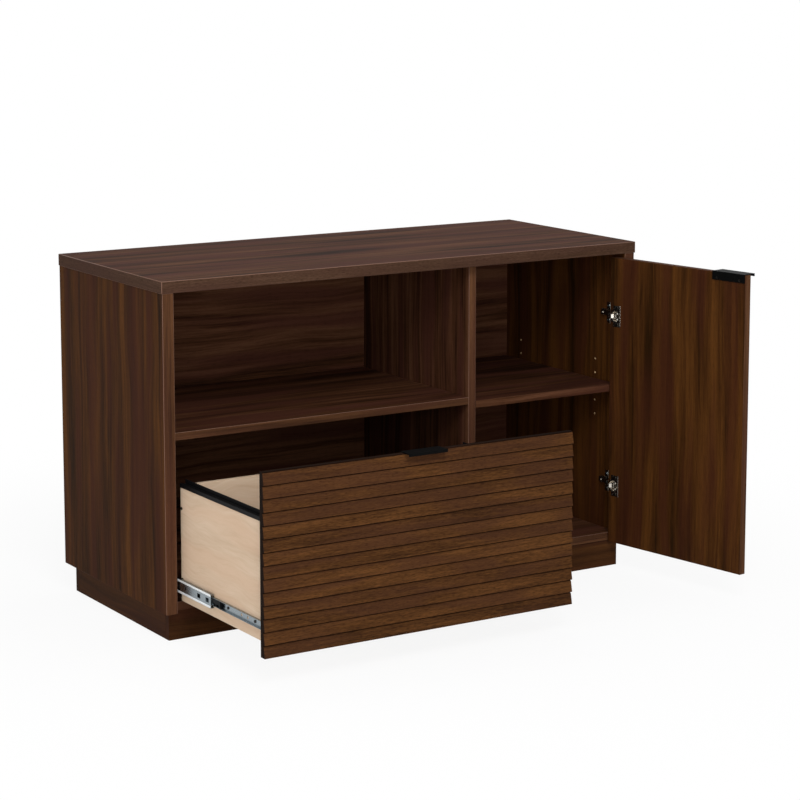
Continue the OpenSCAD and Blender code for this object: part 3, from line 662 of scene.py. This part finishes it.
class BoardBox:
    """A board's box in its own straight frame, and the turn into that frame."""

    def __init__(self, bm: bmesh.types.BMesh, turn: float) -> None:
        """Measure a board.

        Args:
            bm: the board's mesh.
            turn: how far the board is turned about +Z, in radians.
        """
        self.back = Matrix.Rotation(-turn, 3, "Z")
        places = [self.back @ v.co for v in bm.verts]
        self.low = [min(p[k] for p in places) for k in range(3)]
        self.high = [max(p[k] for p in places) for k in range(3)]

    def holds_arris(self, edge: bmesh.types.BMEdge) -> bool:
        """Tell whether an edge lies on two sides of the box.

        Args:
            edge: the edge.

        Returns:
            True on the board's twelve outer arrises.
        """
        a, b = (self.back @ v.co for v in edge.verts)
        sides = sum(
            1
            for k in range(3)
            for bound in (self.low[k], self.high[k])
            if abs(a[k] - bound) < EDGE_REACH and abs(b[k] - bound) < EDGE_REACH
        )
        return sides >= 2

    def holds_face(self, face: bmesh.types.BMFace, facing: int) -> bool:
        """Tell whether a face lies on one of the two sides that it could look out of.

        Args:
            face: the face.
            facing: the axis that it looks along.

        Returns:
            True on the board's outside, and False in a boring or a groove.
        """
        place = (self.back @ face.calc_center_median())[facing]
        return min(abs(place - self.low[facing]), abs(place - self.high[facing])) < FACE_REACH


@dataclass
class Board:
    """One board: a softened copy of its solid with grain coordinates, edge bands and raw drillings.

    through is the axis of its thickness and grain that of the figure on its broad faces. face, band
    and edge finish the broad faces, the narrow sides and the arrises, and inner the broad face that
    looks along + of the thickness. The edge finish is by default a painted highlight. arris is the
    width of the softened arrises, tone the board's shade and turn how far it stands turned about +Z at
    rest. sawn says that every wall, also a recessed one, has the decor.
    """

    node: str
    piece: str
    body: str
    slot: str
    through: Axis
    grain: Axis
    face: WoodFinish = LAMINATE
    band: WoodFinish = BAND
    arris: float = 0.7 * MM
    edge: WoodFinish | PlainFinish = ARRIS
    inner: WoodFinish | None = None
    tone: float = 0.0
    turn: float = 0.0
    sawn: bool = False

    def build(self, nodes: Nodes, palette: Palette, rng: random.Random) -> bpy.types.Object:
        """Make the board.

        Args:
            nodes: the frame's nodes.
            palette: the finishes.
            rng: the source of the grain's offsets.

        Returns:
            The finished piece.
        """
        bm = copied_mesh(nodes, self.node)
        box = BoardBox(bm, self.turn)
        outline = [e for e in arrises(bm) if box.holds_arris(e)]
        arris_faces = soften(bm, self.arris, outline, segments=2)
        uv = bm.loops.layers.uv.new(GRAIN_UV)
        tone = bm.faces.layers.float.new(TONE)
        shift = Vector((rng.uniform(0.0, GRAIN_RANGE), rng.uniform(0.0, GRAIN_RANGE)))
        for f in bm.faces:
            normal = box.back @ f.normal
            facing = max(range(3), key=lambda k: abs(normal[k]))
            along, across = self._directions(facing, box)
            # Faces that look along different axes read parts of the pattern a metre apart
            for loop in f.loops:
                p = box.back @ loop.vert.co
                loop[uv].uv = (p[along] + shift.x + facing, p[across] + shift.y)
            f[tone] = self.tone
            kind = self._kind(f, f.index in arris_faces, facing, box)
            f.smooth = f.index in arris_faces or kind is Face.CORE
            f.material_index = kind.value
        finishes = (self.face, self.band, CORE, self.edge, self.inner or self.face)
        materials = [palette.get(finish) for finish in finishes]
        return finished(bm, self.piece, self.body, self.node, materials)

    def _directions(self, facing: int, box: BoardBox) -> tuple[int, int]:
        """Give the axes along and across the grain on a face.

        Args:
            facing: the axis that the face looks along.
            box: the board's box.

        Returns:
            The index of the axis along the grain, and of the one across it.
        """
        if facing == self.through.value:
            along = self.grain.value
        else:
            rest = [k for k in range(3) if k != facing]
            along = max(rest, key=lambda k: box.high[k] - box.low[k])
        return along, 3 - facing - along

    def _kind(self, face: bmesh.types.BMFace, is_arris: bool, facing: int, box: BoardBox) -> Face:
        """Say which surface of the board a face belongs to.

        Args:
            face: the face.
            is_arris: whether the rounding made it.
            facing: the axis that it looks along.
            box: the board's box.

        Returns:
            The surface.
        """
        # Arrises that look up or aside take the edge finish, on most boards a painted highlight
        if is_arris:
            return Face.BAND if face.normal.z < DOWNWARD else Face.ARRIS
        if not self.sawn and not box.holds_face(face, facing):
            return Face.CORE
        if facing != self.through.value:
            return Face.BAND
        return Face.INNER if (box.back @ face.normal)[facing] > 0.0 else Face.FACE


@dataclass
class Metalwork:
    """Nodes of metal or plastic that get softened arrises and one finish.

    rolled is the radius of a roll-formed strip's long arrises, where there are any. bead is the rise
    and half the height of the beads along the web of a slide member, which carry a painted highlight.
    """

    body: str
    slot: str
    finish: PlainFinish
    nodes: tuple[str, ...]
    arris: float = 0.15 * MM
    rolled: float = 0.0
    bead: tuple[float, float] | None = None

    def build(self, nodes: Nodes, palette: Palette) -> None:
        """Make the pieces.

        Args:
            nodes: the frame's nodes.
            palette: the finishes.
        """
        for node in self.nodes:
            bm = copied_mesh(nodes, node)
            if self.rolled:
                long_ones = [e for e in arrises(bm) if e.calc_length() > ROLLED_LENGTH]
                soften(bm, self.rolled, long_ones, segments=3)
            soften(bm, self.arris, arrises(bm), segments=1)
            bm = relisted(bm)
            materials = [palette.get(self.finish)]
            if self.bead:
                self._press_beads(bm, node, *self.bead)
                materials.append(palette.get(BEAD_HIGHLIGHT))
            for f in bm.faces:
                f.smooth = f.calc_area() < CURVED_WIDTH * max(e.calc_length() for e in f.edges)
            finished(bm, f"{node}_metal", self.body, node, materials)

    @staticmethod
    def _press_beads(bm: bmesh.types.BMesh, node: str, rise: float, half_height: float) -> None:
        """Add the low round bead that is pressed along both edges of a slide member's web.

        Args:
            bm: the member's mesh.
            node: its node, whose name ends in the side that the web looks to.
            rise: how far a bead stands out of the web, in metres.
            half_height: half a bead's height, in metres.
        """
        low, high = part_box(node)
        web = low[0] if node.endswith("left") else high[0]
        length = high[1] - low[1] - 2.0 * rise
        # Each bead is a unit cylinder, laid along Y and drawn out to the bead's size
        lying = Matrix.Rotation(math.radians(90.0), 4, "X")
        for height in (low[2] + half_height, high[2] - half_height):
            place = Matrix.Translation((web, (low[1] + high[1]) / 2.0, height))
            made = bmesh.ops.create_cone(
                bm, cap_ends=True, segments=16, radius1=1.0, radius2=1.0, depth=1.0,
                matrix=place @ lying @ Matrix.Diagonal((rise, half_height, length, 1.0)),
            )
            # The beads take the second material, a painted highlight
            for face in {f for v in made["verts"] for f in v.link_faces}:
                face.material_index = 1
        bm.normal_update()


@dataclass
class Cabinet:
    """The fixed boards, the plinth and what is screwed to them."""

    body: str = "cabinet"
    seed: int = 7

    def build(self, nodes: Nodes, palette: Palette) -> None:
        """Make the cabinet's pieces.

        Args:
            nodes: the frame's nodes.
            palette: the finishes.
        """
        rng = random.Random(self.seed)
        for board in self._boards() + self._plinth():
            board.build(nodes, palette, rng)
        fittings = (
            "hinge_plate_upper", "hinge_plate_lower", "hinge_arm_upper", "hinge_arm_lower",
            "shelf_pins",
        )
        outer = ("slide_outer_left", "slide_outer_right")
        Metalwork(self.body, "nickel", NICKEL, fittings).build(nodes, palette)
        Metalwork(self.body, "zinc", ZINC, outer, rolled=ROLL).build(nodes, palette)
        for node in ("cam_locks", "cam_bolts", "cabinet_screws"):
            dress(nodes[node], palette.get(ZINC))
        dress(nodes["dowels"], palette.get(CORE))

    def _boards(self) -> list[Board]:
        """List the boards of the body.

        Returns:
            The boards, in the order in which their grain is drawn.
        """
        flat, upright = "laminate_flat", "laminate_upright"
        x, y, z = Axis.X, Axis.Y, Axis.Z
        return [
            Board("top_panel", "top_board", self.body, flat, z, x, band=TOP_BAND, arris=1.0 * MM),
            Board("left_end_panel", "left_end_board", self.body, upright, x, z, face=UPRIGHT),
            # tone=0.3 lightens this end, whose face in the right bay stands in shade: painted light
            Board("right_end_panel", "right_end_board", self.body, upright, x, z, face=UPRIGHT, tone=0.3),
            # Lighter flat copy on this upright: painted light, as the divider stands in the bays' shade
            Board("divider_panel", "divider_board", self.body, upright, x, z),
            Board("bottom_panel", "bottom_board", self.body, flat, z, x),
            Board("fixed_shelf", "fixed_shelf_board", self.body, flat, z, x),
            Board(
                "adjustable_shelf", "adjustable_shelf_board", self.body, flat, z, x,
                band=LAMINATE, edge=BAND, tone=-0.3,
            ),
            # tone=0.35 lightens the back, which lies in the bays' shade: painted light
            Board(
                "back_panel", "back_panel_board", self.body, "laminate_shade", y, x,
                band=LAMINATE, edge=LAMINATE, tone=0.35,
            ),
        ]

    def _plinth(self) -> list[Board]:
        """List the boards of the plinth.

        Returns:
            The boards, in the order in which their grain is drawn.
        """
        rails = {
            "plinth_front": (Axis.Y, Axis.X),
            "plinth_back": (Axis.Y, Axis.X),
            "plinth_left": (Axis.X, Axis.Y),
            "plinth_right": (Axis.X, Axis.Y),
            "plinth_centre": (Axis.X, Axis.Y),
        }
        return [
            Board(
                node, f"{node}_board", self.body, "laminate_shade", through, grain,
                face=LAMINATE_DARK, band=LAMINATE_DARK, edge=LAMINATE_DARK,
            )
            for node, (through, grain) in rails.items()
        ]


@dataclass
class Drawer:
    """The file drawer: slatted front, maple box, folder rails, slides and pull."""

    body: str = "drawer"
    middles: str = "slide_middles"
    seed: int = 21

    def build(self, nodes: Nodes, palette: Palette) -> None:
        """Make the drawer's pieces.

        Args:
            nodes: the frame's nodes.
            palette: the finishes.
        """
        rng = random.Random(self.seed)
        self._build_front(nodes, palette, rng)
        self._build_box(nodes, palette, rng)
        rails = ("file_rail_left", "file_rail_right", "file_rail_centre", "slide_levers")
        inner = ("slide_inner_left", "slide_inner_right")
        middle = ("slide_middle_left", "slide_middle_right")
        metalwork = (
            Metalwork(self.body, "black_plastic", PLASTIC, rails, arris=0.3 * MM),
            Metalwork(self.body, "zinc", ZINC, inner, rolled=ROLL),
            Metalwork(self.middles, "zinc", ZINC, middle, rolled=ROLL, bead=SLIDE_BEAD),
            Metalwork(self.body, "black_metal", POWDER, ("drawer_pull",), arris=0.5 * MM),
        )
        for work in metalwork:
            work.build(nodes, palette)
        dress(nodes["drawer_screws"], palette.get(BLACK_OXIDE))
        dress(nodes["slide_ball_cages"], palette.get(ZINC))

    def _build_front(self, nodes: Nodes, palette: Palette, rng: random.Random) -> None:
        """Make the front's backing board and the slats on it.

        Args:
            nodes: the frame's nodes.
            palette: the finishes.
            rng: the source of the grain's offsets and the slats' tones.
        """
        # The backing and the slats' narrow sides take the slots' painted shade
        Board(
            "drawer_front_board", "front_backing", self.body, "slat_wood", Axis.Y, Axis.X,
            face=SLOT, band=SLOT, edge=SLOT, inner=UPRIGHT,
        ).build(nodes, palette, rng)
        for node in sorted(n for n in nodes if n.startswith("slat_")):
            Board(
                node, f"{node}_strip", self.body, "slat_wood", Axis.Y, Axis.X, face=SLATS, band=SLOT,
                edge=SLATS, arris=0.5 * MM, tone=rng.uniform(-1.0, 1.0), sawn=True,
            ).build(nodes, palette, rng)

    def _build_box(self, nodes: Nodes, palette: Palette, rng: random.Random) -> None:
        """Make the maple box behind the front.

        Args:
            nodes: the frame's nodes.
            palette: the finishes.
            rng: the source of the grain's offsets.
        """
        boards = {
            "side_left": (Axis.X, Axis.Y),
            "side_right": (Axis.X, Axis.Y),
            "back": (Axis.Y, Axis.X),
            "bottom": (Axis.Z, Axis.X),
        }
        for name, (through, grain) in boards.items():
            Board(
                f"drawer_{name}", f"box_{name}", self.body, "maple", through, grain,
                face=MAPLE, band=MAPLE, edge=MAPLE,
            ).build(nodes, palette, rng)


@dataclass
class Door:
    """The flat door with its pull, hinge cups and links."""

    body: str = "door"
    links: str = "hinge_links"
    seed: int = 5

    def build(self, nodes: Nodes, palette: Palette, opened: float) -> None:
        """Make the door's pieces.

        Args:
            nodes: the frame's nodes.
            palette: the finishes.
            opened: how far the door stands open at rest, in radians.
        """
        Board(
            "door_panel", "door_board", self.body, "laminate_upright", Axis.Y, Axis.Z,
            face=UPRIGHT, edge=BAND, turn=opened,
        ).build(nodes, palette, random.Random(self.seed))
        cups = ("hinge_cup_upper", "hinge_cup_lower")
        Metalwork(self.body, "black_metal", POWDER, ("door_pull",), arris=0.5 * MM).build(nodes, palette)
        Metalwork(self.body, "nickel", NICKEL, cups).build(nodes, palette)
        Metalwork(self.links, "nickel", NICKEL, ("hinge_links",)).build(nodes, palette)
        dress(nodes["door_screws"], palette.get(BLACK_OXIDE))


@dataclass(frozen=True)
class Lamp:
    """A soft square lamp that looks at the middle of the cabinet."""

    name: str
    place: tuple[float, float, float]
    size: float
    watts: float
    aim: tuple[float, float, float] = (0.0, -0.1, 0.35)

    def build(self) -> None:
        """Hang the lamp."""
        data = bpy.data.lights.new(self.name, "AREA")
        data.size = self.size
        data.energy = self.watts
        lamp = bpy.data.objects.new(self.name, data)
        lamp.location = self.place
        direction = Vector(self.aim) - Vector(self.place)
        lamp.rotation_mode = "QUATERNION"
        lamp.rotation_quaternion = direction.to_track_quat("-Z", "Y")
        bpy.context.scene.collection.objects.link(lamp)


@dataclass(frozen=True)
class Studio:
    """The floor, the lamps, the world and the camera at the photograph's place.

    The floor and the world are white to the camera. floor_glow is how much of the floor's own shade is
    hidden near the middle, from glow_reach's first distance out to its second, where it is all hidden.
    ambient is the world's strength as a light.
    """

    image_px: float = 800.0
    sensor_mm: float = 36.0
    focal_px: float = 2432.0
    camera_at: tuple[float, float, float] = (-2.723, -4.545, 1.442)
    yaw: float = 32.06
    pitch: float = 8.25
    shift_y: float = -0.15
    view_depth: float = 100.0
    floor_size: float = 30.0
    floor_drop: float = 0.5 * MM
    floor_grey: Colour = (0.8, 0.8, 0.8, 1.0)
    floor_roughness: float = 0.9
    floor_glow: float = 0.9
    glow_reach: tuple[float, float] = (0.5, 1.7)
    ambient: float = 0.45
    lamps: tuple[Lamp, ...] = (
        Lamp("key_lamp", (-1.3, -3.4, 3.4), 1.6, 110.0),
        Lamp("fill_lamp", (-2.0, -4.5, 1.0), 2.2, 80.0),
        Lamp("side_lamp", (-4.0, -1.2, 1.6), 1.8, 30.0),
        Lamp("top_lamp", (0.6, 0.2, 3.4), 1.2, 15.0),
    )

    def build(self) -> None:
        """Make the whole studio."""
        bpy.context.scene.view_settings.view_transform = "Standard"
        self._place_camera()
        self._lay_floor()
        self._make_world()
        for lamp in self.lamps:
            lamp.build()

    def _place_camera(self) -> None:
        """Place the camera."""
        scene = bpy.context.scene
        data = bpy.data.cameras.new("photo_camera")
        data.sensor_width = self.sensor_mm
        data.lens = self.focal_px * self.sensor_mm / self.image_px
        data.shift_y = self.shift_y
        data.clip_end = self.view_depth
        camera = bpy.data.objects.new("photo_camera", data)
        camera.location = self.camera_at
        camera.rotation_euler = (math.radians(90.0 - self.pitch), 0.0, math.radians(-self.yaw))
        scene.collection.objects.link(camera)
        scene.camera = camera

    def _lay_floor(self) -> None:
        """Lay the pale floor: white to the camera, with the object's soft shadow left in it."""
        bm = bmesh.new()
        bmesh.ops.create_grid(bm, x_segments=1, y_segments=1, size=self.floor_size / 2)
        mesh = bpy.data.meshes.new("studio_floor")
        bm.to_mesh(mesh)
        bm.free()
        floor = bpy.data.objects.new("studio_floor", mesh)
        floor.location.z = -self.floor_drop
        bpy.context.scene.collection.objects.link(floor)
        material, shader = new_material("studio_floor")
        tree = material.node_tree
        shader.inputs["Base Color"].default_value = self.floor_grey
        shader.inputs["Roughness"].default_value = self.floor_roughness
        place = add_node(tree, "TexCoord").outputs["Object"]
        away = add_node(tree, "VectorMath", {0: place}, operation="LENGTH").outputs["Value"]
        nearest, farthest = self.glow_reach
        reach = {
            "Value": away, "From Min": nearest, "From Max": farthest,
            "To Min": self.floor_glow, "To Max": 1.0,
        }
        share = add_node(tree, "MapRange", reach, interpolation_type="SMOOTHSTEP").outputs[0]
        rays = add_node(tree, "LightPath").outputs
        seen = calculate(tree, "MAXIMUM", rays["Is Camera Ray"], rays["Is Glossy Ray"])
        share = calculate(tree, "MULTIPLY", seen, share)
        glow = add_node(tree, "Emission", {"Color": WHITE, "Strength": 1.0})
        mixed = add_node(
            tree, "MixShader", {0: share, 1: shader.outputs["BSDF"], 2: glow.outputs["Emission"]}
        )
        output = next(n for n in tree.nodes if n.type == "OUTPUT_MATERIAL")
        tree.links.new(mixed.outputs[0], output.inputs["Surface"])
        mesh.materials.append(material)

    def _make_world(self) -> None:
        """Make the world: white behind the object and in its gloss, dimmer as a light."""
        world = bpy.data.worlds.new("studio_world")
        bpy.context.scene.world = world
        world.use_nodes = True
        tree = world.node_tree
        tree.nodes.clear()
        rays = add_node(tree, "LightPath").outputs
        seen = calculate(tree, "MAXIMUM", rays["Is Camera Ray"], rays["Is Transmission Ray"])
        seen = calculate(tree, "MAXIMUM", seen, rays["Is Glossy Ray"])
        strength = add_node(tree, "MapRange", {"Value": seen, "To Min": self.ambient, "To Max": 1.0})
        sky = add_node(tree, "Background", {"Color": WHITE, "Strength": strength.outputs[0]})
        add_node(tree, "OutputWorld", {"Surface": sky.outputs[0]})


def door_opening(joints: list[dict[str, Any]]) -> float:
    """Work out how far the door stands open at rest.

    Args:
        joints: the frame's joints.

    Returns:
        The turn from shut to rest about +Z, in radians.
    """
    shut = 0.0
    for joint in joints:
        if joint["name"] in ("hinge_link_turn", "door_swing"):
            shut += max(joint["range_deg"], key=abs)
    return math.radians(-shut)


def main() -> None:
    """Build the studio and the credenza."""
    logging.basicConfig(level=logging.INFO, format="%(name)s: %(message)s")
    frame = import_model()
    nodes = frame["nodes"]
    palette = Palette()
    Studio().build()
    Cabinet().build(nodes, palette)
    Drawer().build(nodes, palette)
    Door().build(nodes, palette, door_opening(frame["joints"]))


if __name__ == "__main__":
    main()
